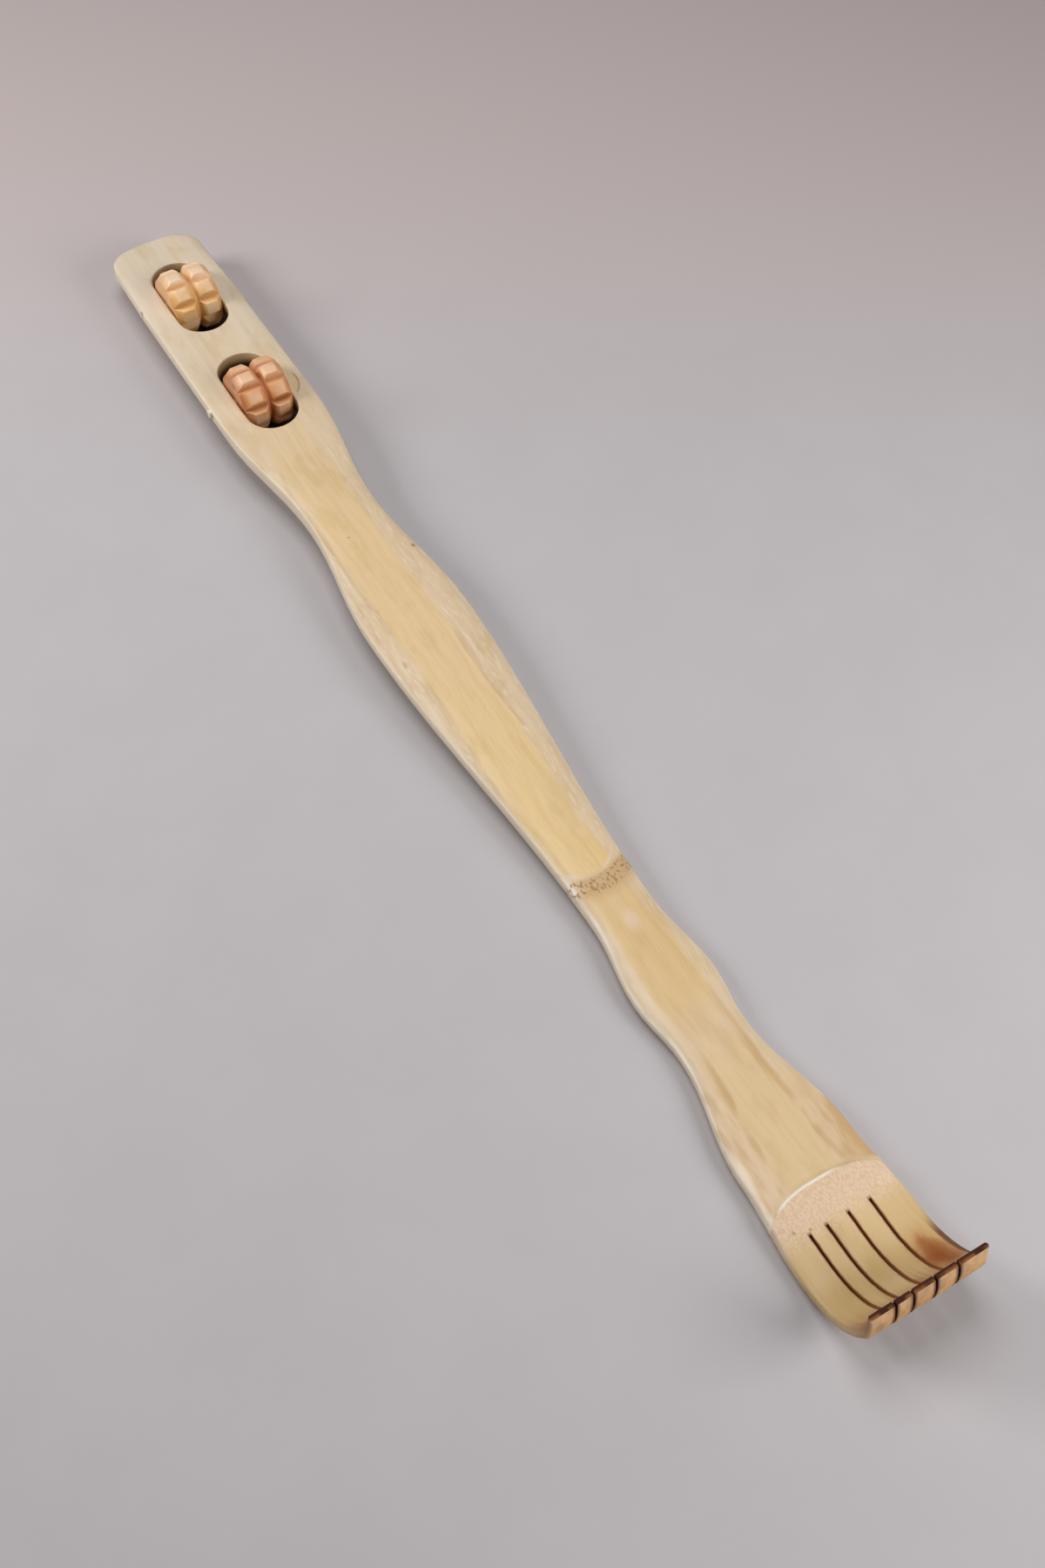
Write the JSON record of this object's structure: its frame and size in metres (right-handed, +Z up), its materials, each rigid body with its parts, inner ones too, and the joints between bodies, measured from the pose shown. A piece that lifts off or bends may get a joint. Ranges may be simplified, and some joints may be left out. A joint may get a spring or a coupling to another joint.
{
  "type": "back scratcher",
  "caption": "Carved bamboo back scratcher with a head bent up into slit claws and knobbed wooden massage rollers spinning on pins in windows at the other end.",
  "frame": {"origin": "under the middle of the object, on the surface it lies on", "axes": "+X from the roller end to the claws, +Y across the strip along the axles, +Z up, the way the claws point"},
  "size_m": [0.48, 0.0392, 0.0279],
  "materials": {
    "bamboo": "sanded satin bamboo",
    "pale_wood": "turned pale wood, waxed",
    "brown_wood": "turned reddish-brown wood, waxed",
    "pin_wood": "raw bamboo pin"
  },
  "bodies": {
    "strip": {"handle": "bamboo", "upper_axle": "pin_wood", "lower_axle": "pin_wood"},
    "upper_roller": {"upper_roller": "pale_wood"},
    "lower_roller": {"lower_roller": "brown_wood"}
  },
  "joints": [
    {"name": "upper_roller_spin", "type": "hinge", "parent": "strip", "child": "upper_roller", "pos_m": [-0.205, 0, 0.012], "axis": [0, 1, 0], "continuous": true},
    {"name": "lower_roller_spin", "type": "hinge", "parent": "strip", "child": "lower_roller", "pos_m": [-0.145, 0, 0.012], "axis": [0, 1, 0], "continuous": true}
  ]
}
